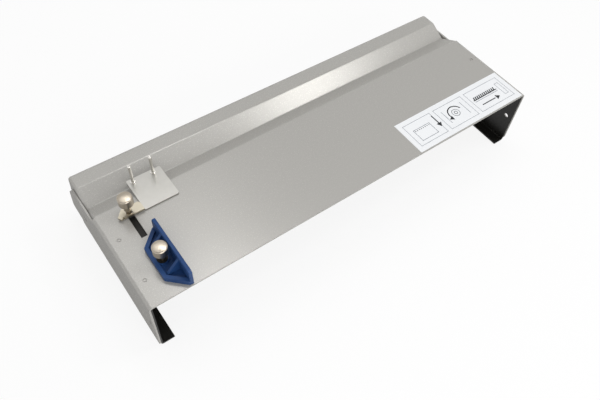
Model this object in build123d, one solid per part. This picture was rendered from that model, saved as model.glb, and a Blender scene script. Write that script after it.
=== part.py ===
from build123d import *
import math
import os

# Manual coil inserting station: a folded steel table with a coil trough and a rear rail,
# two black legs, a sliding pin carriage and a blue side guide, each held by a thumbscrew.
# Lengths are in millimetres. The origin is on the desk, under the centre of the machine's box.
# X runs along the trough, Y to the rear, Z up.
# Most sizes below are measured from the deck's front left top corner.

# Folded table
TABLE_LENGTH = 419.0
SHEET = 1.5
BEND_OUTSIDE = 3.0
DECK_DEPTH = 99.0
TROUGH_FRONT_RUN = 17.0
TROUGH_REAR_RUN = 17.0
TROUGH_DEPTH = 9.0
RAIL_WIDTH = 16.0
REAR_WALL_DROP = 60.0
REAR_WALL_SLOPE = 0.31
REAR_RETURN = 9.0
FORM_BEND_OUTSIDE = 3.0
FORM_INSET = 1.8
END_BEND_OUTSIDE = 2.5
END_WALL_DROP = 28.0
FLANGE_DROP = 66.0
FLANGE_CORNER = 4.0
FLANGE_TAIL_RISE = 7.0
FLANGE_TOP_DROP = 7.0
FLANGE_REAR_INSET = 1.1
FLANGE_CUT_RUN = 10.0
FLANGE_CUT_DROP = 20.0
BEND_RELIEF = 1.0

# Legs and feet
LEG_STEEL = 1.5
LEG_TOP_LIP = 13.0
LEG_FOOT_LIP = 12.5
LEG_SETBACK = 0.8
LEG_REAR_INSET = 2.2
LEG_GAP = 1.0
LEG_BEND_OUTSIDE = 2.5
LEG_HEIGHT = 66.5
RIVET_RADIUS = 1.8
RIVET_HOLE_PLAY = 0.05
RIVET_TAIL = 0.9
RIVET_TAIL_RADIUS = 2.6
RIVET_SIDE_INSET = 9.5
RIVET_FRONT = 24.0
RIVET_PITCH = 43.5
SIDE_HOLE_RADIUS = 2.75
SIDE_HOLE_FRONT = 8.0
SIDE_HOLE_PITCH = 120.0
SIDE_HOLE_DROP = 36.0
PAD_LENGTH = 16.0
PAD_WIDTH = 7.0
PAD_HEIGHT = 2.0
PAD_END_INSET = 6.0
PAD_SIDE_INSET = 2.5
PAD_CORNER = 1.5

# Pin carriage
RUN_GAP = 0.2
CARRIAGE_SLOT_X = 28.0
CARRIAGE_SLOT_WIDTH = 5.5
CARRIAGE_SLOT_LENGTH = 33.8
STUD_TO_FOLD = 12.7
CARRIAGE_TRAVEL_REAR = 3.0
SLOT_END_PLAY = 0.5
CARRIAGE_PLATE = 1.5
CARRIAGE_PLATE_LEFT = 40.0
CARRIAGE_PLATE_WIDTH = 32.0
CARRIAGE_PLATE_MARGIN = 4.0
CARRIAGE_TONGUE_LEFT = 21.0
CARRIAGE_TONGUE_WIDTH = 8.0
CARRIAGE_CORNER = 1.5
HOLE_PITCH = 6.2865
PINS_APART_HOLES = 3
FIRST_PIN_X = 45.0
PIN_TO_VALLEY = 3.5
PIN_RADIUS = 1.4
PIN_HEIGHT = 22.0
PIN_HEAD_RADIUS = 1.6
PIN_TAIL_RADIUS = 1.1
PIN_COLLAR_RADIUS = 2.2
PIN_COLLAR_HEIGHT = 0.8
POINTER_THICK = 2.0
POINTER_LEFT = 17.6
POINTER_LEFT_EDGE = 3.1
POINTER_SHOULDER = 5.8
POINTER_DEPTH = 9.4
POINTER_STRIP = 1.4
POINTER_NOTCH_PLACE = 4.1
POINTER_NOTCH_WIDTH = 2.2
POINTER_NOTCH_DEPTH = 1.8
POINTER_CORNER = 1.8
KEY_SIDE_PLAY = 0.15
KEY_LENGTH = 7.0
NUT_BAR_WIDTH = 12.0
NUT_BAR_THICK = 3.0
NUT_BAR_LENGTH = 35.0
NUT_BAR_TO_FOLD = 5.0

# Thumbscrews
STUD_RADIUS = 1.5
THREAD_PLAY = 0.05
HOLE_PLAY = 0.3
STUD_TAIL = 2.5
STUD_CHAMFER = 0.5
KNOB_RADIUS = 6.2
KNOB_RIM = 8.5
KNOB_CONE = 1.5
KNOB_UNDER_RADIUS = 5.0
KNOB_TOP_ROUND = 1.3
KNOB_CROWN_RADIUS = 28.0
KNOB_TOP_Z = 23.5
NECK_RADIUS = 2.3
WASHER_RADIUS = 4.5
WASHER_THICK = 0.8
NUT_SIDE = 5.5
NUT_THICK = 1.8

# Side guide
GUIDE_FRONT = 1.0
GUIDE_LENGTH = 59.5
GUIDE_FENCE_FACE = 39.6
GUIDE_FENCE_THICK = 3.2
GUIDE_FENCE_HEIGHT = 18.0
GUIDE_FENCE_NOSE = 2.5
GUIDE_TAIL_RUN = 1.5
GUIDE_TAIL_DROP = 3.0
GUIDE_BASE_WIDTH = 15.0
GUIDE_BASE_THICK = 3.0
GUIDE_BASE_CUT_X = 14.5
GUIDE_BASE_CUT_Y = 14.0
GUIDE_BASE_CORNER = 2.0
GUIDE_RIM_WIDTH = 3.2
GUIDE_RIM_RISE = 2.2
GUIDE_RIB_THICK = 2.4
GUIDE_RIB_OFFSET = 13.5
GUIDE_RIB_TOP_DROP = 2.0
GUIDE_EDGE_ROUND = 0.8
GUIDE_SLOT_WIDTH = 5.5
GUIDE_SLOT_END_PLAY = 1.0
GUIDE_TRAVEL_LEFT = 3.5
GUIDE_TRAVEL_RIGHT = 3.5
GUIDE_BOSS_RADIUS = 5.2

# Label
LABEL_LENGTH = 138.0
LABEL_DEPTH = 38.8
LABEL_THICK = 0.15
LABEL_RIGHT_INSET = 3.4
LABEL_FRONT_INSET = 1.0

# Heights and places that follow from the sizes above
DECK_Z = PAD_HEIGHT + LEG_HEIGHT + SHEET
LEFT_X = -TABLE_LENGTH / 2
VALLEY_Y = DECK_DEPTH + TROUGH_FRONT_RUN
CREST_Y = VALLEY_Y + TROUGH_REAR_RUN
RAIL_REAR_Y = CREST_Y + RAIL_WIDTH
WALL_BOTTOM_Y = RAIL_REAR_Y + REAR_WALL_SLOPE * REAR_WALL_DROP
BEND_TUCK = FORM_BEND_OUTSIDE * (math.hypot(1, REAR_WALL_SLOPE) - 1 + REAR_WALL_SLOPE)
TABLE_DEPTH = WALL_BOTTOM_Y - BEND_TUCK
FRONT_Y = -TABLE_DEPTH / 2
LEG_REAR = RAIL_REAR_Y - LEG_REAR_INSET
SHELL_FRONT_Y = DECK_DEPTH - BEND_RELIEF
SHELL_LOW = -REAR_WALL_DROP + 2 * FORM_BEND_OUTSIDE
CARRIAGE_STUD_Y = DECK_DEPTH - STUD_TO_FOLD
POINTER_FRONT = CARRIAGE_STUD_Y - POINTER_DEPTH / 2
CARRIAGE_SLOT_REAR = CARRIAGE_STUD_Y + KEY_LENGTH / 2 + CARRIAGE_TRAVEL_REAR + SLOT_END_PLAY
CARRIAGE_SLOT_FRONT = CARRIAGE_SLOT_REAR - CARRIAGE_SLOT_LENGTH
NUT_BAR_REAR = DECK_DEPTH - NUT_BAR_TO_FOLD
NUT_BAR_FRONT = NUT_BAR_REAR - NUT_BAR_LENGTH
PIN_LINE_Y = VALLEY_Y - PIN_TO_VALLEY
CARRIAGE_PLATE_REAR = PIN_LINE_Y + CARRIAGE_PLATE_MARGIN
GUIDE_KNOB_Y = GUIDE_FRONT + GUIDE_LENGTH / 2
GUIDE_BASE_LEFT = GUIDE_FENCE_FACE - GUIDE_FENCE_THICK - GUIDE_BASE_WIDTH
GUIDE_KNOB_X = GUIDE_BASE_LEFT + GUIDE_BASE_WIDTH / 2
SECOND_PIN_X = FIRST_PIN_X + PINS_APART_HOLES * HOLE_PITCH
PIN_PLACES = (("left", FIRST_PIN_X), ("right", SECOND_PIN_X))
SIDES = ("left", "right")
PLATE_TOP = RUN_GAP + CARRIAGE_PLATE

# How far apart two places may lie and still count as one
MEET = 0.001


def spot(x, y, z):
    """A place given from the deck's front left top corner, in the part's own frame."""
    return (LEFT_X + x, FRONT_Y + y, DECK_Z + z)


def block(x0, x1, y0, y1, z0, z1):
    """A plain box between two corners given from the deck's front left top corner."""
    middle = spot((x0 + x1) / 2, (y0 + y1) / 2, (z0 + z1) / 2)
    return Pos(*middle) * Box(x1 - x0, y1 - y0, z1 - z0)


def rod(x, y, z0, z1, radius):
    """An upright cylinder."""
    return Pos(*spot(x, y, (z0 + z1) / 2)) * Cylinder(radius, z1 - z0)


def side_plate(outline, x0, x1):
    """A flat plate in a plane across X, from an outline of (y, z) points."""
    points = [spot(x0, y, z) for y, z in outline]
    face = make_face(Polyline(*points, close=True))
    return extrude(face, amount=x1 - x0, dir=(1, 0, 0))


def deck_plate(outline, z0, z1):
    """A flat plate in a level plane, from an outline of (x, y) points."""
    points = [spot(x, y, z0) for x, y in outline]
    face = make_face(Polyline(*points, close=True))
    return extrude(face, amount=z1 - z0, dir=(0, 0, 1))


def unit(a, b):
    """Direction from one flat point to the next."""
    du = b[0] - a[0]
    dv = b[1] - a[1]
    length = math.hypot(du, dv)
    return (du / length, dv / length)


def inner_line(points, thickness):
    """The sheet's other face: every run moved to its right by the thickness."""
    runs = [unit(a, b) for a, b in zip(points, points[1:])]
    ends = [runs[0]] + runs
    starts = runs + [runs[-1]]
    moved = []
    for (u, v), a, b in zip(points, ends, starts):
        share = thickness / (1 + a[0] * b[0] + a[1] * b[1])
        moved.append((u + share * (a[1] + b[1]), v - share * (a[0] + b[0])))
    return moved


def bend_radii(points, outside, thickness):
    """Corner radii of a folded line, and of its other face, for one outside bend radius."""
    runs = [unit(a, b) for a, b in zip(points, points[1:])]
    to_right = [a[0] * b[1] - a[1] * b[0] < 0 for a, b in zip(runs, runs[1:])]
    given = [outside if right else outside - thickness for right in to_right]
    other = [outside - thickness if right else outside for right in to_right]
    return given, other


def folded(points, outside, thickness, to_space, draw, length):
    """Sheet folded along flat points, its thickness to their right, drawn out to a length."""
    given, other = bend_radii(points, outside, thickness)
    first = [to_space(*p) for p in points]
    second = [to_space(*p) for p in inner_line(points, thickness)]
    edges = FilletPolyline(*first, radius=given) + FilletPolyline(*second, radius=other)
    edges += Line(first[0], second[0])
    edges += Line(first[-1], second[-1])
    return extrude(make_face(edges), amount=length, dir=draw)


def mirrored(shape, side):
    """The left hand piece as built, or its mirror image for the right."""
    return shape if side == "left" else mirror(shape, Plane.YZ)


def edges_at(shape, axis, places):
    """For each place, the shape's edge along an axis whose middle is nearest to it."""
    edges = shape.edges().filter_by(axis)
    return [min(edges, key=lambda e: (e.center() - Vector(*place)).length) for place in places]


def rear_wall_y(z):
    """Where the sloping rear wall's outer face lies at a height."""
    return RAIL_REAR_Y - REAR_WALL_SLOPE * z


def side_flange():
    """Left flange: level foot edge, raised tail, cut rear top corner, and its two holes."""
    tail_z = -FLANGE_DROP + FLANGE_TAIL_RISE
    top_z = -FLANGE_TOP_DROP
    cut_z = top_z - FLANGE_CUT_DROP
    front_low = (0, -FLANGE_DROP)
    rear_low = (rear_wall_y(tail_z) - FLANGE_REAR_INSET, tail_z)
    rear_high = (rear_wall_y(cut_z) - FLANGE_REAR_INSET, cut_z)
    cut_start = (rear_wall_y(top_z) - FLANGE_REAR_INSET - FLANGE_CUT_RUN, top_z)
    outline = [
        (0, -BEND_OUTSIDE),
        front_low,
        (LEG_REAR, -FLANGE_DROP),
        (LEG_REAR, tail_z),
        rear_low,
        rear_high,
        cut_start,
        (SHELL_FRONT_Y, top_z),
        (SHELL_FRONT_Y, -BEND_OUTSIDE),
    ]
    plate = side_plate(outline, 0, SHEET)
    rounded = (front_low, rear_low, rear_high, cut_start)
    corners = [spot(SHEET / 2, y, z) for y, z in rounded]
    plate = fillet(edges_at(plate, Axis.X, corners), FLANGE_CORNER)
    return plate - side_holes(0, SHEET)


def side_holes(x0, x1):
    """The two bolt holes through the left flange and leg."""
    drills = [
        Pos(*spot((x0 + x1) / 2, SIDE_HOLE_FRONT + step * SIDE_HOLE_PITCH, -SIDE_HOLE_DROP))
        * Rot(0, 90, 0)
        * Cylinder(SIDE_HOLE_RADIUS, 3 * (x1 - x0))
        for step in (0, 1)
    ]
    return Compound(children=drills)


def deck_fold():
    """The deck and the upper part of both side bends, as one folded strip."""
    low = -2 * BEND_OUTSIDE
    points = [(0, low), (0, 0), (TABLE_LENGTH, 0), (TABLE_LENGTH, low)]
    return folded(
        points, BEND_OUTSIDE, SHEET, lambda x, z: spot(x, 0, z), (0, 1, 0), SHELL_FRONT_Y
    )


def trough_line(margin):
    """Top line of trough, rail and rear wall, drawn out by a margin at both ends."""
    low = SHELL_LOW - margin
    return [
        (SHELL_FRONT_Y - margin, 0),
        (DECK_DEPTH, 0),
        (VALLEY_Y, -TROUGH_DEPTH),
        (CREST_Y, 0),
        (RAIL_REAR_Y, 0),
        (rear_wall_y(low), low),
    ]


def filled(line, radii, inset, end_round):
    """Solid under a folded line between two end planes, rounded along both ends."""
    front, low = line[0][0], line[-1][1]
    upper = [spot(inset, y, z) for y, z in line]
    edges = FilletPolyline(*upper, radius=radii)
    edges += Polyline(upper[-1], spot(inset, front, low), upper[0])
    solid = extrude(make_face(edges), amount=TABLE_LENGTH - 2 * inset, dir=(1, 0, 0))
    _, front_y, low_z = spot(0, front, low)
    ends = [e for f in solid.faces().filter_by(Axis.X) for e in f.edges()]
    round_ends = [e for e in ends if e.center().Y > front_y + MEET and e.center().Z > low_z + MEET]
    return fillet(round_ends, end_round)


def rear_shell():
    """Trough, rail and rear wall with walls bent down at both ends, in even sheet."""
    line = trough_line(0)
    longer = trough_line(SHEET)
    radii, _ = bend_radii(line, FORM_BEND_OUTSIDE, SHEET)
    _, inner_radii = bend_radii(longer, FORM_BEND_OUTSIDE, SHEET)
    shell = filled(line, radii, FORM_INSET, END_BEND_OUTSIDE)
    hollow = inner_line(longer, SHEET)
    shell -= filled(hollow, inner_radii, FORM_INSET + SHEET, END_BEND_OUTSIDE - SHEET)
    wall_end = FORM_INSET + 2 * SHEET
    leg_room = block(0, wall_end, 0, LEG_REAR + LEG_GAP, -REAR_WALL_DROP, -END_WALL_DROP)
    return shell - leg_room - mirrored(leg_room, "right") + rear_return()


def rear_return():
    """Stiffening return along the foot of the rear wall."""
    start = SHELL_LOW + SHEET
    points = [
        (rear_wall_y(start), start),
        (WALL_BOTTOM_Y, -REAR_WALL_DROP),
        (WALL_BOTTOM_Y - REAR_RETURN, -REAR_WALL_DROP),
    ]
    inset = FORM_INSET + END_BEND_OUTSIDE
    length = TABLE_LENGTH - 2 * inset
    return folded(
        points, FORM_BEND_OUTSIDE, SHEET, lambda y, z: spot(inset, y, z), (1, 0, 0), length
    )


def carriage_slot():
    """Square ended slot that the carriage runs in."""
    half = CARRIAGE_SLOT_WIDTH / 2
    return block(
        CARRIAGE_SLOT_X - half,
        CARRIAGE_SLOT_X + half,
        CARRIAGE_SLOT_FRONT,
        CARRIAGE_SLOT_REAR,
        -3 * SHEET,
        SHEET,
    )


def guide_slot():
    """Cross slot that the guide's thumbscrew runs in, hidden under the guide."""
    reach = STUD_RADIUS + GUIDE_SLOT_END_PLAY
    left = GUIDE_KNOB_X - GUIDE_TRAVEL_LEFT - reach
    right = GUIDE_KNOB_X + GUIDE_TRAVEL_RIGHT + reach
    middle = spot((left + right) / 2, GUIDE_KNOB_Y, -SHEET)
    shape = SlotOverall(right - left, GUIDE_SLOT_WIDTH)
    return Pos(*middle) * extrude(shape, amount=2 * SHEET, both=True)


def rivet_spots():
    """Centres of the leg rivets on the left half."""
    return [(RIVET_SIDE_INSET, RIVET_FRONT + step * RIVET_PITCH) for step in (0, 1)]


def rivet_holes():
    """Holes for the left pair of rivets."""
    radius = RIVET_RADIUS + RIVET_HOLE_PLAY
    return Compound(children=[rod(x, y, -4 * SHEET, SHEET, radius) for x, y in rivet_spots()])


def make_table():
    """The folded steel table in one piece."""
    flange = side_flange()
    shell = deck_fold() + rear_shell() + flange + mirrored(flange, "right")
    holes = rivet_holes()
    return shell - carriage_slot() - guide_slot() - holes - mirrored(holes, "right")


def leg_section():
    """Outer line of the leg channel seen from the front, foot lip first."""
    top = -SHEET
    bottom = top - LEG_HEIGHT
    return [
        (SHEET + LEG_FOOT_LIP, bottom),
        (SHEET, bottom),
        (SHEET, top),
        (SHEET + LEG_TOP_LIP, top),
    ]


def make_leg(side):
    """C-shaped leg channel under one end of the deck, its top lip cut short at the trough."""
    channel = folded(
        leg_section(),
        LEG_BEND_OUTSIDE,
        LEG_STEEL,
        lambda x, z: spot(x, LEG_SETBACK, z),
        (0, 1, 0),
        LEG_REAR - LEG_SETBACK,
    )
    lip_end = SHELL_FRONT_Y - LEG_GAP
    under_wall = -END_WALL_DROP - LEG_GAP
    clearance_cut = block(0, 2 * LEG_TOP_LIP, lip_end, RAIL_REAR_Y, under_wall, 0)
    channel = channel - clearance_cut - side_holes(SHEET, SHEET + LEG_STEEL) - rivet_holes()
    return mirrored(channel, side)


def make_rivets(side):
    """Two flush rivets that hold a leg's top lip under the deck."""
    tail_z = -SHEET - LEG_STEEL
    rivets = []
    for x, y in rivet_spots():
        shank = rod(x, y, tail_z, -RIVET_HOLE_PLAY, RIVET_RADIUS)
        tail = rod(x, y, tail_z - RIVET_TAIL, tail_z, RIVET_TAIL_RADIUS)
        rivets.append(mirrored(shank + tail, side))
    return Compound(children=rivets)


def make_pad(side, end):
    """Rubber foot stuck under a foot lip."""
    y0 = LEG_SETBACK + PAD_END_INSET
    if end == "rear":
        y0 = LEG_REAR - PAD_END_INSET - PAD_LENGTH
    x0 = SHEET + PAD_SIDE_INSET
    low = -DECK_Z
    pad = block(x0, x0 + PAD_WIDTH, y0, y0 + PAD_LENGTH, low, low + PAD_HEIGHT)
    pad = fillet(pad.edges().filter_by(Axis.Z), PAD_CORNER)
    return mirrored(pad, side)


def make_pin_plate():
    """Carriage plate: a wide seat for the pins and a tongue to the thumbscrew."""
    plate = block(
        CARRIAGE_PLATE_LEFT,
        CARRIAGE_PLATE_LEFT + CARRIAGE_PLATE_WIDTH,
        POINTER_FRONT,
        CARRIAGE_PLATE_REAR,
        RUN_GAP,
        PLATE_TOP,
    )
    plate = fillet(plate.edges().filter_by(Axis.Z), CARRIAGE_CORNER)
    half = CARRIAGE_TONGUE_WIDTH / 2
    tongue = block(
        CARRIAGE_TONGUE_LEFT,
        CARRIAGE_PLATE_LEFT + CARRIAGE_CORNER,
        CARRIAGE_STUD_Y - half,
        CARRIAGE_STUD_Y + half,
        RUN_GAP,
        PLATE_TOP,
    )
    plate = plate + tongue
    plate -= rod(CARRIAGE_SLOT_X, CARRIAGE_STUD_Y, -SHEET, 2 * PLATE_TOP, STUD_RADIUS + HOLE_PLAY)
    for _, x in PIN_PLACES:
        plate -= rod(x, PIN_LINE_Y, -SHEET, 2 * PLATE_TOP, PIN_TAIL_RADIUS)
    return plate


def make_pin(x):
    """Index pin with a ball head, a collar on the plate and a riveted tail in it."""
    collar_top = PLATE_TOP + PIN_COLLAR_HEIGHT
    head_z = PLATE_TOP + PIN_HEIGHT - PIN_HEAD_RADIUS
    pin = rod(x, PIN_LINE_Y, RUN_GAP, PLATE_TOP, PIN_TAIL_RADIUS)
    pin += rod(x, PIN_LINE_Y, PLATE_TOP, collar_top, PIN_COLLAR_RADIUS)
    pin += rod(x, PIN_LINE_Y, collar_top, head_z, PIN_RADIUS)
    pin += Pos(*spot(x, PIN_LINE_Y, head_z)) * Sphere(PIN_HEAD_RADIUS)
    return pin


def make_pointer():
    """Notched nickel pointer plate on the tongue, with a window for the thumbscrew's neck."""
    rear = POINTER_FRONT + POINTER_DEPTH
    shoulder = POINTER_LEFT + POINTER_SHOULDER
    right = CARRIAGE_PLATE_LEFT
    notch = POINTER_LEFT + POINTER_NOTCH_PLACE
    notch_half = POINTER_NOTCH_WIDTH / 2
    outline = [
        (POINTER_LEFT + POINTER_CORNER, POINTER_FRONT),
        (notch - notch_half, POINTER_FRONT),
        (notch, POINTER_FRONT + POINTER_NOTCH_DEPTH),
        (notch + notch_half, POINTER_FRONT),
        (right, POINTER_FRONT),
        (right, rear - POINTER_CORNER),
        (right - POINTER_CORNER, rear),
        (shoulder, rear),
        (POINTER_LEFT, POINTER_FRONT + POINTER_LEFT_EDGE),
    ]
    plate = deck_plate(outline, PLATE_TOP, PLATE_TOP + POINTER_THICK)
    half = NECK_RADIUS + HOLE_PLAY
    window = block(
        CARRIAGE_SLOT_X - half,
        CARRIAGE_SLOT_X + half,
        POINTER_FRONT + POINTER_STRIP,
        rear - POINTER_STRIP,
        PLATE_TOP,
        PLATE_TOP + 2 * POINTER_THICK,
    )
    return plate - window


def make_slot_key():
    """Key under the tongue that keeps the carriage square in its slot."""
    half = CARRIAGE_SLOT_WIDTH / 2 - KEY_SIDE_PLAY
    front = CARRIAGE_STUD_Y - KEY_LENGTH / 2
    key = block(
        CARRIAGE_SLOT_X - half,
        CARRIAGE_SLOT_X + half,
        front,
        front + KEY_LENGTH,
        -SHEET,
        RUN_GAP,
    )
    return key - rod(CARRIAGE_SLOT_X, CARRIAGE_STUD_Y, -3 * SHEET, SHEET, STUD_RADIUS + THREAD_PLAY)


def make_nut_bar():
    """Long clamp nut under the deck that closes the slot from below."""
    half = NUT_BAR_WIDTH / 2
    top = -SHEET - RUN_GAP
    bar = block(
        CARRIAGE_SLOT_X - half,
        CARRIAGE_SLOT_X + half,
        NUT_BAR_FRONT,
        NUT_BAR_REAR,
        top - NUT_BAR_THICK,
        top,
    )
    bar = fillet(bar.edges().filter_by(Axis.Z), CARRIAGE_CORNER)
    return bar - rod(
        CARRIAGE_SLOT_X,
        CARRIAGE_STUD_Y,
        top - 2 * NUT_BAR_THICK,
        0,
        STUD_RADIUS + THREAD_PLAY,
    )


def make_knob(x, y, seat_z):
    """Turned thumbscrew head: crowned top, rim, cone and neck down to its seat."""
    rim_z = KNOB_TOP_Z - KNOB_RIM
    cone_z = rim_z - KNOB_CONE
    outline = [
        (0, seat_z),
        (NECK_RADIUS, seat_z),
        (NECK_RADIUS, cone_z),
        (KNOB_UNDER_RADIUS, cone_z),
        (KNOB_RADIUS, rim_z),
        (KNOB_RADIUS, KNOB_TOP_Z),
        (0, KNOB_TOP_Z),
    ]
    points = [(r, 0, z) for r, z in outline]
    solid = revolve(make_face(Polyline(*points, close=True)), axis=Axis.Z)
    solid = solid & Pos(0, 0, KNOB_TOP_Z - KNOB_CROWN_RADIUS) * Sphere(KNOB_CROWN_RADIUS)
    circles = solid.edges().filter_by(GeomType.CIRCLE)
    rims = [e for e in circles if math.isclose(e.radius, KNOB_RADIUS)]
    solid = fillet(max(rims, key=lambda e: e.center().Z), KNOB_TOP_ROUND)
    return Pos(*spot(x, y, 0)) * solid


def make_stud(x, y, seat_z, tail_z):
    """Threaded stud fixed in the knob's neck, with a chamfered tail."""
    stud = rod(x, y, tail_z, seat_z, STUD_RADIUS)
    low_edge = stud.edges().filter_by(GeomType.CIRCLE).group_by(Axis.Z)[0]
    return chamfer(low_edge, STUD_CHAMFER)


def guide_base_outline(inset=0.0):
    """Guide base seen from above: straight at the fence, cut corners away from it."""
    fence = GUIDE_FENCE_FACE - GUIDE_FENCE_THICK / 2
    left = GUIDE_BASE_LEFT + inset
    front = GUIDE_FRONT + inset
    rear = GUIDE_FRONT + GUIDE_LENGTH - inset
    slope = GUIDE_BASE_CUT_Y / GUIDE_BASE_CUT_X
    cut = GUIDE_BASE_CUT_X - inset * (1 + (1 - math.hypot(1, slope)) / slope)
    return [
        (left, front + slope * cut),
        (left + cut, front),
        (fence, front),
        (fence, rear),
        (left + cut, rear),
        (left, rear - slope * cut),
    ]


def guide_fence():
    """Upright fence with a sloping nose at the front and a small one at the rear."""
    rear = GUIDE_FRONT + GUIDE_LENGTH
    top = GUIDE_FENCE_HEIGHT
    outline = [
        (GUIDE_FRONT, RUN_GAP),
        (rear, RUN_GAP),
        (rear, top - GUIDE_TAIL_DROP),
        (rear - GUIDE_TAIL_RUN, top),
        (GUIDE_FRONT + GUIDE_FENCE_NOSE, top),
        (GUIDE_FRONT, top - GUIDE_FENCE_NOSE),
    ]
    fence = side_plate(outline, GUIDE_FENCE_FACE - GUIDE_FENCE_THICK, GUIDE_FENCE_FACE)
    low = DECK_Z + GUIDE_BASE_THICK
    around = [e for e in fence.faces().filter_by(Axis.X).edges() if e.center().Z > low]
    return fillet(around, GUIDE_EDGE_ROUND)


def guide_rib(y):
    """Three-cornered rib between the fence and the base."""
    inner = GUIDE_FENCE_FACE - GUIDE_FENCE_THICK
    top = GUIDE_FENCE_HEIGHT - GUIDE_RIB_TOP_DROP
    y0 = y - GUIDE_RIB_THICK / 2
    points = [
        spot(inner + GUIDE_FENCE_THICK / 2, y0, GUIDE_BASE_THICK / 2),
        spot(inner + GUIDE_FENCE_THICK / 2, y0, top),
        spot(inner, y0, top),
        spot(GUIDE_BASE_LEFT + GUIDE_RIM_WIDTH, y0, GUIDE_BASE_THICK),
        spot(GUIDE_BASE_LEFT + GUIDE_RIM_WIDTH, y0, GUIDE_BASE_THICK / 2),
    ]
    return extrude(make_face(Polyline(*points, close=True)), amount=GUIDE_RIB_THICK, dir=(0, 1, 0))


def make_guide():
    """Blue moulded side guide: base with a raised rim, fence, two ribs and a boss."""
    rim_top = GUIDE_BASE_THICK + GUIDE_RIM_RISE
    outline = guide_base_outline()
    base = deck_plate(outline, RUN_GAP, rim_top)
    corners = [spot(*outline[i], rim_top / 2) for i in (0, 1, 4, 5)]
    base = fillet(edges_at(base, Axis.Z, corners), GUIDE_BASE_CORNER)
    base = base - deck_plate(guide_base_outline(GUIDE_RIM_WIDTH), GUIDE_BASE_THICK, 2 * rim_top)
    guide = base + guide_fence()
    for offset_y in (-GUIDE_RIB_OFFSET, GUIDE_RIB_OFFSET):
        guide += guide_rib(GUIDE_KNOB_Y + offset_y)
    guide += rod(GUIDE_KNOB_X, GUIDE_KNOB_Y, GUIDE_BASE_THICK / 2, rim_top, GUIDE_BOSS_RADIUS)
    stud_hole = STUD_RADIUS + HOLE_PLAY
    return guide - rod(GUIDE_KNOB_X, GUIDE_KNOB_Y, -SHEET, 2 * rim_top, stud_hole)


def make_washer(x, y, z0):
    """Plain washer."""
    ring = rod(x, y, z0, z0 + WASHER_THICK, WASHER_RADIUS)
    return ring - rod(x, y, z0 - WASHER_THICK, z0 + 2 * WASHER_THICK, STUD_RADIUS + HOLE_PLAY)


def make_guide_nut():
    """Square nut under the deck, on its washer."""
    half = NUT_SIDE / 2
    top = -SHEET - RUN_GAP - WASHER_THICK
    nut = block(
        GUIDE_KNOB_X - half,
        GUIDE_KNOB_X + half,
        GUIDE_KNOB_Y - half,
        GUIDE_KNOB_Y + half,
        top - NUT_THICK,
        top,
    )
    return nut - rod(GUIDE_KNOB_X, GUIDE_KNOB_Y, top - 2 * NUT_THICK, 0, STUD_RADIUS + THREAD_PLAY)


def make_label():
    """Thin label with the working steps, on the right front of the deck."""
    right = TABLE_LENGTH - LABEL_RIGHT_INSET
    return block(
        right - LABEL_LENGTH,
        right,
        LABEL_FRONT_INSET,
        LABEL_FRONT_INSET + LABEL_DEPTH,
        0,
        LABEL_THICK,
    )


def knob_parts(name, x, y, seat_z, tail_z):
    """A thumbscrew's head and stud, by node name."""
    return {
        name + "_knob": make_knob(x, y, seat_z),
        name + "_stud": make_stud(x, y, seat_z, tail_z),
    }


def all_parts():
    """Every node of the machine, by name."""
    parts = {"folded_table": make_table(), "step_label": make_label()}
    for side in SIDES:
        parts[side + "_leg"] = make_leg(side)
        parts[side + "_leg_rivets"] = make_rivets(side)
        for end in ("front", "rear"):
            parts[f"{end}_{side}_foot"] = make_pad(side, end)
    parts["pin_plate"] = make_pin_plate()
    for place, x in PIN_PLACES:
        parts[place + "_index_pin"] = make_pin(x)
    parts["pointer_plate"] = make_pointer()
    parts["slot_key"] = make_slot_key()
    parts["nut_bar"] = make_nut_bar()
    bar_low = -SHEET - RUN_GAP - NUT_BAR_THICK
    carriage_seat = PLATE_TOP + THREAD_PLAY
    tail = bar_low - STUD_TAIL
    parts.update(knob_parts("carriage", CARRIAGE_SLOT_X, CARRIAGE_STUD_Y, carriage_seat, tail))
    parts["side_guide"] = make_guide()
    rim_top = GUIDE_BASE_THICK + GUIDE_RIM_RISE
    parts["guide_top_washer"] = make_washer(GUIDE_KNOB_X, GUIDE_KNOB_Y, rim_top)
    low_washer = -SHEET - RUN_GAP - WASHER_THICK
    parts["guide_low_washer"] = make_washer(GUIDE_KNOB_X, GUIDE_KNOB_Y, low_washer)
    parts["guide_nut"] = make_guide_nut()
    guide_seat = rim_top + WASHER_THICK + THREAD_PLAY
    guide_tail = low_washer - NUT_THICK - STUD_TAIL
    parts.update(knob_parts("guide", GUIDE_KNOB_X, GUIDE_KNOB_Y, guide_seat, guide_tail))
    return parts


def main():
    os.makedirs("parts", exist_ok=True)
    for name, shape in all_parts().items():
        export_step(shape, os.path.join("parts", name + ".step"))


main()
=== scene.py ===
import math

import bmesh
import bpy
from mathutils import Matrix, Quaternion, Vector


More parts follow.
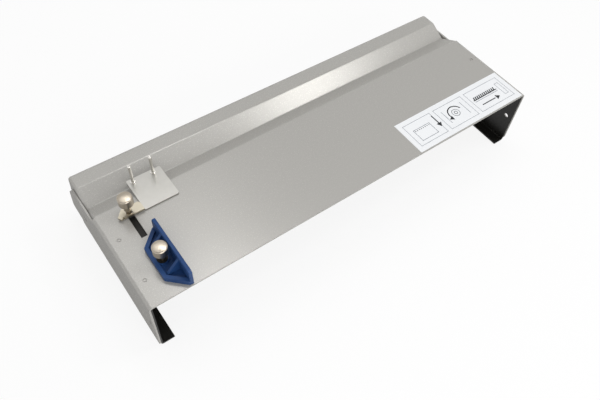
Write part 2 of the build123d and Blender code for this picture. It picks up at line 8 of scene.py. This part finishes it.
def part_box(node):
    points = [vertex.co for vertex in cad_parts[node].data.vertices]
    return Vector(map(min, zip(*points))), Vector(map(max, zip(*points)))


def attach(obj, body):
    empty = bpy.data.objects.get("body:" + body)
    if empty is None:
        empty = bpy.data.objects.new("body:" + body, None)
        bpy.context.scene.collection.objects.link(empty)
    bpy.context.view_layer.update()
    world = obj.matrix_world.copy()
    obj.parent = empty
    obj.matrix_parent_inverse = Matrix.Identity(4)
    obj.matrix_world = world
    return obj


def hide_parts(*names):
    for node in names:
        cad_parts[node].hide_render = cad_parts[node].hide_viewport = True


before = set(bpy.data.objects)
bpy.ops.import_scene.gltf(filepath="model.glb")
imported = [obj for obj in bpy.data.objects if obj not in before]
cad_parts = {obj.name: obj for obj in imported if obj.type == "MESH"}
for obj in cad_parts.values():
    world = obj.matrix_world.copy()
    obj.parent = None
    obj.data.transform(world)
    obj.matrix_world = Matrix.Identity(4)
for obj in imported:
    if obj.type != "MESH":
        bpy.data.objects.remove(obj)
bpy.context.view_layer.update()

# Places are in millimetres from the deck's front left top corner: X right, Y rear, Z up.
MM = 0.001
TABLE_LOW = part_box("folded_table")[0]
LABEL_LOW, LABEL_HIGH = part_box("step_label")
CORNER = Vector((TABLE_LOW.x, TABLE_LOW.y, LABEL_LOW.z))

# Camera, fitted to the photograph; its turn is an axis times an angle in radians
CAMERA_PLACE = (-43.223, -215.108, 422.241)
CAMERA_TURN = (0.579803, -0.256910, -0.593226)
FOCAL_PIXELS = 610.983
IMAGE_WIDTH = 600
IMAGE_HEIGHT = 400
OPTICAL_CENTRE = (309.63, 202.46)
SENSOR_WIDTH = 36.0

# Surroundings, with lengths in metres
WORLD_LIGHT = 0.535
FLOOR_SIZE = 40.0
FLOOR_BOUNCE = 0.6
FLOOR_PALE = 0.95
FLOOR_SEEN_WHITE = 0.86
WALL_RADIUS = 19.0
WALL_HEIGHT = 8.0
WALL_WHITE = 0.97
WALL_SIDES = 64

# Colours of the finishes
GREY = (0.475, 0.464, 0.440)
BLACK = (0.0095, 0.009, 0.0078)
STEEL = (0.52, 0.51, 0.48)
# Dark steel: the nut bar's oxide, and painted shade on the guide's top washer under its knob
OXIDE_AND_SHADE = (0.035, 0.034, 0.033)
KNOB_NICKEL = (0.565, 0.50, 0.41)
PLATE_NICKEL = (0.55, 0.505, 0.405)
PIN_NICKEL = (0.86, 0.84, 0.79)
BLUE = (0.017, 0.056, 0.175)
BLUE_LIGHT = (0.021, 0.066, 0.200)
RUBBER_BLACK = (0.016, 0.016, 0.016)
LABEL_WHITE = (0.905, 0.92, 0.94)
INK_GREY = (0.21, 0.23, 0.26)
INK_DARK = (0.012, 0.014, 0.018)
GREY_SHEEN = {"Metallic": 0.25, "Specular_IOR_Level": 0.0, "Specular_Tint": (0.6, 0.6, 0.6, 1)}

# Texture of the finishes: the part of a noise that is used, and marks in metres
NOISE_LOW = 0.3
NOISE_HIGH = 0.7
ROLLING_SCALE = (260, 5200, 5200)
TURNING_PITCH = 0.00035
TOOL_MARK_DEPTH = 0.000001
TOOL_MARK_STRENGTH = 0.15

# Printed line art on the label
INK_HEIGHT = 0.03
THIN_LINE = 0.42
MIDDLE_LINE = 0.55
BOLD_LINE = 1.1
STROKE_LINE = 1.3
ARROW_SIZE = 5.0
ARROW_HALF_WIDTH_SHARE = 0.6
DOT_SIDES = 12
LABEL_MARGIN = 5.6
PANELS = ((0.0, 0.27), (0.31, 0.6), (0.64, 1.0))

# Rivets: shank against tail, and the head's groove as shares of the shank
RIVET_SHANK_SHARE = 1.8 / 2.6
RIVET_TAIL = 0.9
RIVET_GROOVE = 0.5
RIVET_GROOVE_SHARES = (0.94, 0.88, 0.62, 0.56)
RIVET_CENTRE_DROP = 0.05
RIVET_SIDES = 32

# Thread of the studs
THREAD_PITCH = 0.5
THREAD_DEPTH = 0.27
THREAD_SIDES = 28
THREAD_STEPS_PER_TURN = 8
THREAD_CHAMFER = 0.5


def at(x, y, z=0.0):
    """A point given in millimetres from the deck's front left top corner."""
    return CORNER + Vector((x, y, z)) * MM


def middle(node):
    low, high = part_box(node)
    return (low + high) / 2


# Node helpers


def set_inputs(node, **values):
    """Sets a node's inputs by name, with underscores for the spaces."""
    for key, value in values.items():
        node.inputs[key.replace("_", " ")].default_value = value


class Shader:
    """A material's node tree, with short calls for the nodes used here."""

    def __init__(self, name):
        self.material = bpy.data.materials.new(name)
        self.material.use_nodes = True
        self.nodes = self.material.node_tree.nodes
        self.links = self.material.node_tree.links
        self.bsdf = self.nodes["Principled BSDF"]

    def add(self, kind, **values):
        node = self.nodes.new(kind)
        set_inputs(node, **values)
        return node

    def link(self, a, b):
        self.links.new(a, b)

    def drive(self, name, value):
        self.link(value, self.bsdf.inputs[name])

    def math(self, operation, *values):
        """One step of arithmetic on sockets and plain numbers."""
        node = self.add("ShaderNodeMath")
        node.operation = operation
        for socket, value in zip(node.inputs, values):
            if isinstance(value, (int, float)):
                socket.default_value = value
            else:
                self.link(value, socket)
        return node.outputs["Value"]

    def seen_rays(self):
        """1 for rays that see the background, from the camera or in a reflection."""
        path = self.add("ShaderNodeLightPath").outputs
        mirrored = self.math("MAXIMUM", path["Is Glossy Ray"], path["Is Transmission Ray"])
        return self.math("MAXIMUM", path["Is Camera Ray"], mirrored)

    def show(self, share, first, second):
        """Puts a mix of two shaders on the surface, all of the second at 1."""
        node = self.add("ShaderNodeMixShader")
        for socket, value in zip(node.inputs, (share, first, second)):
            self.link(value, socket)
        self.link(node.outputs["Shader"], self.nodes["Material Output"].inputs["Surface"])


class Finish(Shader):
    """A shader whose colour, gloss and relief come from noise fixed to the piece."""

    def __init__(self, name):
        super().__init__(name)
        self.place = self.add("ShaderNodeTexCoord").outputs["Object"]

    def mapped(self, **values):
        """The piece's coordinates, moved or stretched."""
        node = self.add("ShaderNodeMapping", **values)
        self.link(self.place, node.inputs["Vector"])
        return node.outputs["Vector"]

    def noise(self, scale, detail=2.0, place=None):
        node = self.add("ShaderNodeTexNoise", Scale=scale, Detail=detail)
        self.link(place or self.place, node.inputs["Vector"])
        return node.outputs["Fac"]

    def spread(self, value, low, high):
        """Maps the used part of a noise to low..high, and on past both ends."""
        ends = {"From_Min": NOISE_LOW, "From_Max": NOISE_HIGH, "To_Min": low, "To_Max": high}
        node = self.add("ShaderNodeMapRange", **ends)
        node.clamp = False
        self.link(value, node.inputs["Value"])
        return node.outputs["Result"]

    def colour(self, value, a, b):
        """Base colour that a noise takes from a to b."""
        node = self.add("ShaderNodeMix")
        node.data_type = "RGBA"
        self.link(self.spread(value, 0, 1), node.inputs["Factor"])
        for key, rgb in (("A", a), ("B", b)):
            socket = next(s for s in node.inputs if s.name == key and s.type == "RGBA")
            socket.default_value = (*rgb, 1)
        self.drive("Base Color", next(s for s in node.outputs if s.type == "RGBA"))

    def roughness(self, value, low, high):
        self.drive("Roughness", self.spread(value, low, high))

    def bump(self, height, distance, strength, under=None):
        node = self.add("ShaderNodeBump", Distance=distance, Strength=strength)
        self.link(height, node.inputs["Height"])
        if under is not None:
            self.link(under, node.inputs["Normal"])
        return node.outputs["Normal"]

    def relief(self, height, distance, strength, under=None):
        self.drive("Normal", self.bump(height, distance, strength, under))


# Finishes


def powder_coat(name, colour, speckle, roughness, peel, **sheen):
    """Sprayed and baked paint: fine speckle, orange peel and fine uneven gloss."""
    s = Finish(name)
    dark = tuple(c * (1 - speckle) for c in colour)
    light = tuple(c * (1 + speckle) for c in colour)
    s.colour(s.noise(scale=2600, detail=3), dark, light)
    s.roughness(s.noise(scale=1300), roughness - 0.006, roughness + 0.006)
    grain = s.bump(s.noise(scale=1900), distance=0.00001, strength=0.5)
    s.relief(s.noise(scale=420), distance=peel, strength=0.6, under=grain)
    set_inputs(s.bsdf, **sheen)
    return s.material


def plating(name, colour, roughness):
    """Bare plated metal, a little uneven in tint and gloss."""
    s = Finish(name)
    tint = tuple(c * 0.96 for c in colour)
    s.colour(s.noise(scale=260), tint, colour)
    s.roughness(s.noise(scale=150), roughness - 0.012, roughness + 0.012)
    set_inputs(s.bsdf, Metallic=1.0)
    return s


def rolled_metal(name, colour, roughness):
    """Plated sheet or bar with faint rolling lines along X."""
    s = plating(name, colour, roughness)
    lines = s.noise(scale=1.0, place=s.mapped(Scale=ROLLING_SCALE))
    s.relief(lines, distance=TOOL_MARK_DEPTH, strength=TOOL_MARK_STRENGTH)
    return s.material


def turned_metal(name, colour, roughness, centre):
    """Plated turned piece with faint rings round its own upright axis."""
    s = plating(name, colour, roughness)
    flat = s.add("ShaderNodeVectorMath")
    flat.operation = "MULTIPLY"
    flat.inputs[1].default_value = (1, 1, 0)
    s.link(s.mapped(Location=tuple(-c for c in centre)), flat.inputs[0])
    length = s.add("ShaderNodeVectorMath")
    length.operation = "LENGTH"
    s.link(flat.outputs["Vector"], length.inputs[0])
    turns = s.math("MULTIPLY", length.outputs["Value"], 2 * math.pi / TURNING_PITCH)
    s.relief(s.math("SINE", turns), distance=TOOL_MARK_DEPTH, strength=TOOL_MARK_STRENGTH)
    return s.material


def moulded_plastic(name, colour, light_colour, roughness):
    """Moulded plastic with fine spark grain and soft colour clouds."""
    s = Finish(name)
    s.colour(s.noise(scale=70, detail=3), colour, light_colour)
    s.roughness(s.noise(scale=150, detail=3), roughness - 0.05, roughness + 0.08)
    s.relief(s.noise(scale=3200), distance=0.00001, strength=0.55)
    set_inputs(s.bsdf, Specular_IOR_Level=0.22)
    return s.material


def film(name, colour):
    """Laminated label film."""
    s = Finish(name)
    shade = tuple(c * 0.975 for c in colour)
    s.colour(s.noise(scale=40, detail=3), shade, colour)
    s.roughness(s.noise(scale=60), 0.28, 0.36)
    s.relief(s.noise(scale=900), distance=0.000006, strength=0.4)
    return s.material


def ink(name, colour):
    """Printed ink, a little uneven."""
    s = Finish(name)
    light = tuple(c * 1.25 + 0.01 for c in colour)
    s.colour(s.noise(scale=1500, detail=3), colour, light)
    set_inputs(s.bsdf, Roughness=0.45)
    return s.material


def rubber(name, colour):
    """Matt moulded rubber."""
    s = Finish(name)
    light = tuple(c * 1.5 for c in colour)
    s.colour(s.noise(scale=500, detail=4), colour, light)
    s.relief(s.noise(scale=2500, detail=3), distance=0.00002, strength=0.7)
    set_inputs(s.bsdf, Roughness=0.8)
    return s.material


# Objects


def new_object(name, data):
    item = bpy.data.objects.new(name, data)
    bpy.context.scene.collection.objects.link(item)
    return item


def mesh_object(name, bm, material):
    mesh = bpy.data.meshes.new(name)
    bm.to_mesh(mesh)
    bm.free()
    mesh.materials.append(material)
    return new_object(name, mesh)


def new_piece(name, bm, material, body):
    """A finished piece of the machine, riding on a body."""
    bmesh.ops.recalc_face_normals(bm, faces=bm.faces)
    piece = mesh_object(name, bm, material)
    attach(piece, body)
    return piece


def new_stage(name, bm, material):
    """A piece of the surroundings."""
    piece = mesh_object(name, bm, material)


def turn_to(item, turn):
    item.rotation_mode = "QUATERNION"
    item.rotation_quaternion = turn


def join_rings(bm, rings):
    """Faces between rings of vertices; a ring that repeats one vertex is a pole."""
    for lower, upper in zip(rings, rings[1:]):
        for i in range(len(lower)):
            j = (i + 1) % len(lower)
            loop = dict.fromkeys((lower[i], lower[j], upper[j], upper[i]))
            bm.faces.new(tuple(loop))


def finish_node(node, material):
    """Gives a CAD node its finish in every material slot."""
    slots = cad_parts[node].data.materials
    if not slots:
        slots.append(material)
    for index in range(len(slots)):
        slots[index] = material


# Camera, surroundings and light


def make_camera():
    data = bpy.data.cameras.new("photo_camera")
    data.sensor_width = SENSOR_WIDTH
    data.lens = FOCAL_PIXELS * SENSOR_WIDTH / IMAGE_WIDTH
    data.shift_x = (IMAGE_WIDTH / 2 - OPTICAL_CENTRE[0]) / IMAGE_WIDTH
    data.shift_y = (OPTICAL_CENTRE[1] - IMAGE_HEIGHT / 2) / IMAGE_WIDTH
    camera = new_object("photo_camera", data)
    camera.location = at(*CAMERA_PLACE)
    turn = Vector(CAMERA_TURN)
    turn_to(camera, Quaternion(turn.normalized(), turn.length))
    bpy.context.scene.camera = camera


def make_world():
    world = bpy.data.worlds.new("studio")
    world.use_nodes = True
    background = world.node_tree.nodes["Background"]
    set_inputs(background, Color=(1, 1, 1, 1), Strength=WORLD_LIGHT)
    bpy.context.scene.world = world


def make_floor():
    """Paper that seen rays meet as nearly white, and that keeps the machine's shadow."""
    s = Shader("floor_paper")
    seen = s.seen_rays()
    shade = s.add("ShaderNodeMapRange", To_Min=FLOOR_BOUNCE, To_Max=FLOOR_PALE)
    s.link(seen, shade.inputs["Value"])
    s.drive("Base Color", shade.outputs["Result"])
    set_inputs(s.bsdf, Roughness=0.9, Specular_IOR_Level=0.1)
    white = s.add("ShaderNodeEmission").outputs["Emission"]
    s.show(s.math("MULTIPLY", seen, FLOOR_SEEN_WHITE), s.bsdf.outputs["BSDF"], white)
    bm = bmesh.new()
    bmesh.ops.create_grid(bm, x_segments=1, y_segments=1, size=FLOOR_SIZE / 2)
    new_stage("floor", bm, s.material)


def make_wall():
    """A far round wall, met by seen rays alone, that keeps the background pale in low views."""
    s = Shader("wall_white")
    clear = s.add("ShaderNodeBsdfTransparent").outputs["BSDF"]
    white = s.add("ShaderNodeEmission", Strength=WALL_WHITE).outputs["Emission"]
    s.show(s.seen_rays(), clear, white)
    bm = bmesh.new()
    bmesh.ops.create_cone(
        bm, segments=WALL_SIDES, radius1=WALL_RADIUS, radius2=WALL_RADIUS, depth=WALL_HEIGHT
    )
    bmesh.ops.translate(bm, verts=bm.verts, vec=(0, 0, WALL_HEIGHT / 2))
    new_stage("wall", bm, s.material)


def softbox(name, place, target, width, depth, watts):
    """A rectangular lamp in metres; its place and target are in millimetres from the corner."""
    data = bpy.data.lights.new(name, "AREA")
    data.shape = "RECTANGLE"
    data.size = width
    data.size_y = depth
    data.energy = watts
    lamp = new_object(name, data)
    lamp.location = at(*place)
    aim = at(*target) - lamp.location
    turn_to(lamp, aim.to_track_quat("-Z", "Y"))


def make_lights():
    # Bright patch half way along the trough's incline
    softbox("gloss_softbox", (785, -185, 1000), (240, 125, 0), 0.26, 0.26, 2.1)
    # Light from the front, on the deck's edge and the knobs
    softbox("front_softbox", (60, -1000, 480), (180, 60, 0), 0.9, 0.6, 5.5)
    # The deck's lighter left end
    softbox("top_softbox", (150, 580, 950), (20, 50, 0), 0.5, 0.42, 0.8)
    # Thin bright lines along the bends of the trough
    softbox("strip_softbox", (345, 285, 940), (100, 118, 0), 0.5, 0.12, 1.3)


# Thumbscrew threads


def thread_radius(z, angle, outer):
    """Outer radius less a V groove that climbs one pitch a turn, chamfered at the low end."""
    phase = (z / THREAD_PITCH - angle / (2 * math.pi)) % 1.0
    grooved = outer - THREAD_DEPTH * abs(2 * phase - 1)
    chamfered = outer - THREAD_CHAMFER + z
    return min(grooved, chamfered)


def thread_ring(bm, foot, z, outer):
    """Vertices round the stud at a height over its foot."""
    ring = []
    for side in range(THREAD_SIDES):
        angle = 2 * math.pi * side / THREAD_SIDES
        radius = thread_radius(z, angle, outer)
        offset = Vector((radius * math.cos(angle), radius * math.sin(angle), z)) * MM
        ring.append(bm.verts.new(foot + offset))
    return ring


def make_thread(node, body, material):
    """Threaded stud that stands for a plain CAD one."""
    low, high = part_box(node)
    foot = middle(node)
    foot.z = low.z
    outer = (high.x - low.x) / 2 / MM
    length = (high.z - low.z) / MM
    rows = round(length / THREAD_PITCH * THREAD_STEPS_PER_TURN)
    bm = bmesh.new()
    rings = [thread_ring(bm, foot, length * row / rows, outer) for row in range(rows + 1)]
    join_rings(bm, rings)
    bm.faces.new(rings[0])
    bm.faces.new(rings[-1])
    piece = new_piece(node + "_thread", bm, material, body)
    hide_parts(node)


# Rivets


def turned(bm, centre, profile):
    """Solid of revolution about an upright axis, from (radius, height) points."""
    angles = [2 * math.pi * i / RIVET_SIDES for i in range(RIVET_SIDES)]
    x, y = centre
    rings = []
    for radius, z in profile:
        if radius == 0:
            rings.append([bm.verts.new((x, y, z))] * RIVET_SIDES)
            continue
        circle = [(x + radius * math.cos(a), y + radius * math.sin(a), z) for a in angles]
        rings.append([bm.verts.new(point) for point in circle])
    join_rings(bm, rings)


def make_rivets(node, material):
    """Rivets with a grooved head, in place of the plain CAD ones."""
    low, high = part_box(node)
    across = (low.x + high.x) / 2
    tail = (high.x - low.x) / 2
    shank = tail * RIVET_SHANK_SHARE
    bottom = low.z
    shoulder = bottom + RIVET_TAIL * MM
    top = high.z
    groove = top - RIVET_GROOVE * MM
    centre = top - RIVET_CENTRE_DROP * MM
    rim, outer, inner, boss = (shank * share for share in RIVET_GROOVE_SHARES)
    profile = [
        (0, bottom),
        (tail, bottom),
        (tail, shoulder),
        (shank, shoulder),
        (shank, top),
        (rim, top),
        (outer, groove),
        (inner, groove),
        (boss, centre),
        (0, centre),
    ]
    bm = bmesh.new()
    for y in (low.y + tail, high.y - tail):
        turned(bm, (across, y), profile)
    piece = new_piece(node + "_grooved", bm, material, "frame")
    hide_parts(node)


# Line art on the label, in millimetres


def prism(bm, corners):
    """Flat printed shape from a loop of (x, y) points on the label."""
    top = (LABEL_HIGH.z - LABEL_LOW.z) / MM
    low = [bm.verts.new(at(x, y, top)) for x, y in corners]
    high = [bm.verts.new(at(x, y, top + INK_HEIGHT)) for x, y in corners]
    bm.faces.new(low)
    bm.faces.new(high)
    join_rings(bm, [low, high])


def line(bm, a, b, width):
    """Straight printed line with square ends half a width past its points."""
    run = Vector(b) - Vector(a)
    run.normalize()
    along = run * width / 2
    across = Vector((-run.y, run.x)) * width / 2
    start = Vector(a) - along
    end = Vector(b) + along
    prism(bm, [start - across, end - across, end + across, start + across])


def path(bm, points, width):
    for a, b in zip(points, points[1:]):
        line(bm, a, b, width)


def outline(bm, x0, y0, x1, y1, width):
    """Printed rectangle."""
    path(bm, [(x0, y0), (x1, y0), (x1, y1), (x0, y1), (x0, y0)], width)


def arc(centre, radius, start, end, steps):
    """Points on a circle, its angles in degrees."""
    points = []
    for i in range(steps + 1):
        angle = math.radians(start + (end - start) * i / steps)
        points.append((centre[0] + radius * math.cos(angle), centre[1] + radius * math.sin(angle)))
    return points


def dot(bm, centre, radius):
    prism(bm, arc(centre, radius, 0, 360, DOT_SIDES)[:-1])


def arrow_head(bm, tip, direction, size=ARROW_SIZE):
    run = Vector(direction).normalized()
    half_width = Vector((-run.y, run.x)) * size * ARROW_HALF_WIDTH_SHARE
    back = Vector(tip) - run * size
    prism(bm, [Vector(tip), back + half_width, back - half_width])


def label_point(u, v):
    """A point from 0..1 along the label's printed field to millimetres."""
    x0 = (LABEL_LOW.x - CORNER.x) / MM + LABEL_MARGIN
    x1 = (LABEL_HIGH.x - CORNER.x) / MM - LABEL_MARGIN
    y0 = (LABEL_LOW.y - CORNER.y) / MM + LABEL_MARGIN
    y1 = (LABEL_HIGH.y - CORNER.y) / MM - LABEL_MARGIN
    return (x0 + (x1 - x0) * u, y0 + (y1 - y0) * v)


def draw_frames(bm):
    """Three thin frames side by side."""
    for left, right in PANELS:
        outline(bm, *label_point(left, 0), *label_point(right, 1), THIN_LINE)


def draw_load_panel(grey, dark):
    """A blank oblong with dots along one edge, and a bold arrow towards it."""
    x, y = label_point(0.045, 0.16)
    width = 20
    height = 14
    outline(grey, x, y, x + width, y + height, MIDDLE_LINE)
    dot_pitch = 2.4
    first_dot = x + 1.6
    dot_row = y + height - 1.8
    for i in range(8):
        dot(dark, (first_dot + dot_pitch * i, dot_row), 0.55)
    arrow_x = x + 28
    line(dark, (arrow_x, y + 19), (arrow_x, y + 8), BOLD_LINE)
    arrow_head(dark, (arrow_x, y + 3.5), (0, -1))


def draw_turn_panel(grey, dark):
    """A round knob seen from above with a turning arrow, and two ticks."""
    x, y = label_point(0.455, 0.5)
    knob_radius = 4.2
    screw_radius = 1.7
    turn_radius = 8.2
    path(grey, arc((x, y), knob_radius, 0, 360, 28), MIDDLE_LINE)
    path(grey, arc((x, y), screw_radius, 0, 360, 18), MIDDLE_LINE)
    path(dark, arc((x, y), turn_radius, 20, 205, 24), BOLD_LINE)
    arrow_head(dark, (x - 7.0, y - 6.4), (0.5, -0.86), 4.6)
    tick = 8
    for tick_x in (x - 12.5, x + 12.5):
        line(grey, (tick_x, y - tick), (tick_x, y + tick), MIDDLE_LINE)


def draw_feed_panel(grey, dark):
    """A row of slanted strokes over two level lines, with an arrow along them."""
    x, y = label_point(0.675, 0.62)
    strokes = 12
    pitch = 2.5
    for i in range(strokes):
        stroke_x = x + pitch * i
        line(dark, (stroke_x, y - 1.6), (stroke_x + 1.0, y + 1.2), STROKE_LINE)
    left = x - 1
    right = x + pitch * strokes
    line(dark, (left, y - 2.0), (right, y - 2.0), BOLD_LINE)
    line(grey, (left, y - 4.2), (right, y - 4.2), MIDDLE_LINE)
    arrow_y = y - 10.5
    line(dark, (x + 3, arrow_y), (x + 20, arrow_y), BOLD_LINE)
    arrow_head(dark, (x + 27, arrow_y), (1, 0))
    outline(grey, x + 33.5, y - 12, x + 38, y + 4, THIN_LINE)


def make_label_art(grey_ink, dark_ink):
    grey = bmesh.new()
    dark = bmesh.new()
    draw_frames(grey)
    for draw in (draw_load_panel, draw_turn_panel, draw_feed_panel):
        draw(grey, dark)
    new_piece("label_grey_print", grey, grey_ink, "frame")
    new_piece("label_dark_print", dark, dark_ink, "frame")


# Assembly

grey_paint = powder_coat("grey_powder_coat", GREY, 0.05, 0.27, 0.000012, **GREY_SHEEN)
black_paint = powder_coat("black_powder_coat", BLACK, 0.3, 0.42, 0.00002, Specular_IOR_Level=0.35)
steel = rolled_metal("zinc_plated_steel", STEEL, 0.34)
nickel = rolled_metal("nickel_plate", PLATE_NICKEL, 0.34)
pin_nickel = rolled_metal("pin_nickel", PIN_NICKEL, 0.2)
# Dark oxide for the nut bar; on the guide's top washer the darkness is painted shade from the knob
# above
oxide_and_shade = rolled_metal("oxide_and_painted_shade", OXIDE_AND_SHADE, 0.45)
blue = moulded_plastic("blue_plastic", BLUE, BLUE_LIGHT, 0.42)
label_film = film("white_label_film", LABEL_WHITE)
pad_rubber = rubber("black_rubber", RUBBER_BLACK)
grey_ink = ink("grey_ink", INK_GREY)
dark_ink = ink("dark_ink", INK_DARK)

finish_node("folded_table", grey_paint)
finish_node("step_label", label_film)
for side in ("left", "right"):
    finish_node(side + "_leg", black_paint)
    make_rivets(side + "_leg_rivets", grey_paint)
    finish_node("front_" + side + "_foot", pad_rubber)
    finish_node("rear_" + side + "_foot", pad_rubber)
    finish_node(side + "_index_pin", pin_nickel)
finish_node("pin_plate", steel)
finish_node("pointer_plate", nickel)
finish_node("slot_key", steel)
finish_node("nut_bar", oxide_and_shade)
finish_node("side_guide", blue)
# The washer's dark colour is painted shade cast by the guide knob over it
finish_node("guide_top_washer", oxide_and_shade)
finish_node("guide_low_washer", steel)
finish_node("guide_nut", steel)
for screw in ("carriage", "guide"):
    knob = screw + "_knob"
    finish_node(knob, turned_metal(knob + "_nickel", KNOB_NICKEL, 0.29, middle(knob)))
    make_thread(screw + "_stud", screw + "_thumbscrew", steel)

make_label_art(grey_ink, dark_ink)
make_camera()
make_world()
make_floor()
make_wall()
make_lights()
bpy.context.scene.view_settings.view_transform = "Standard"
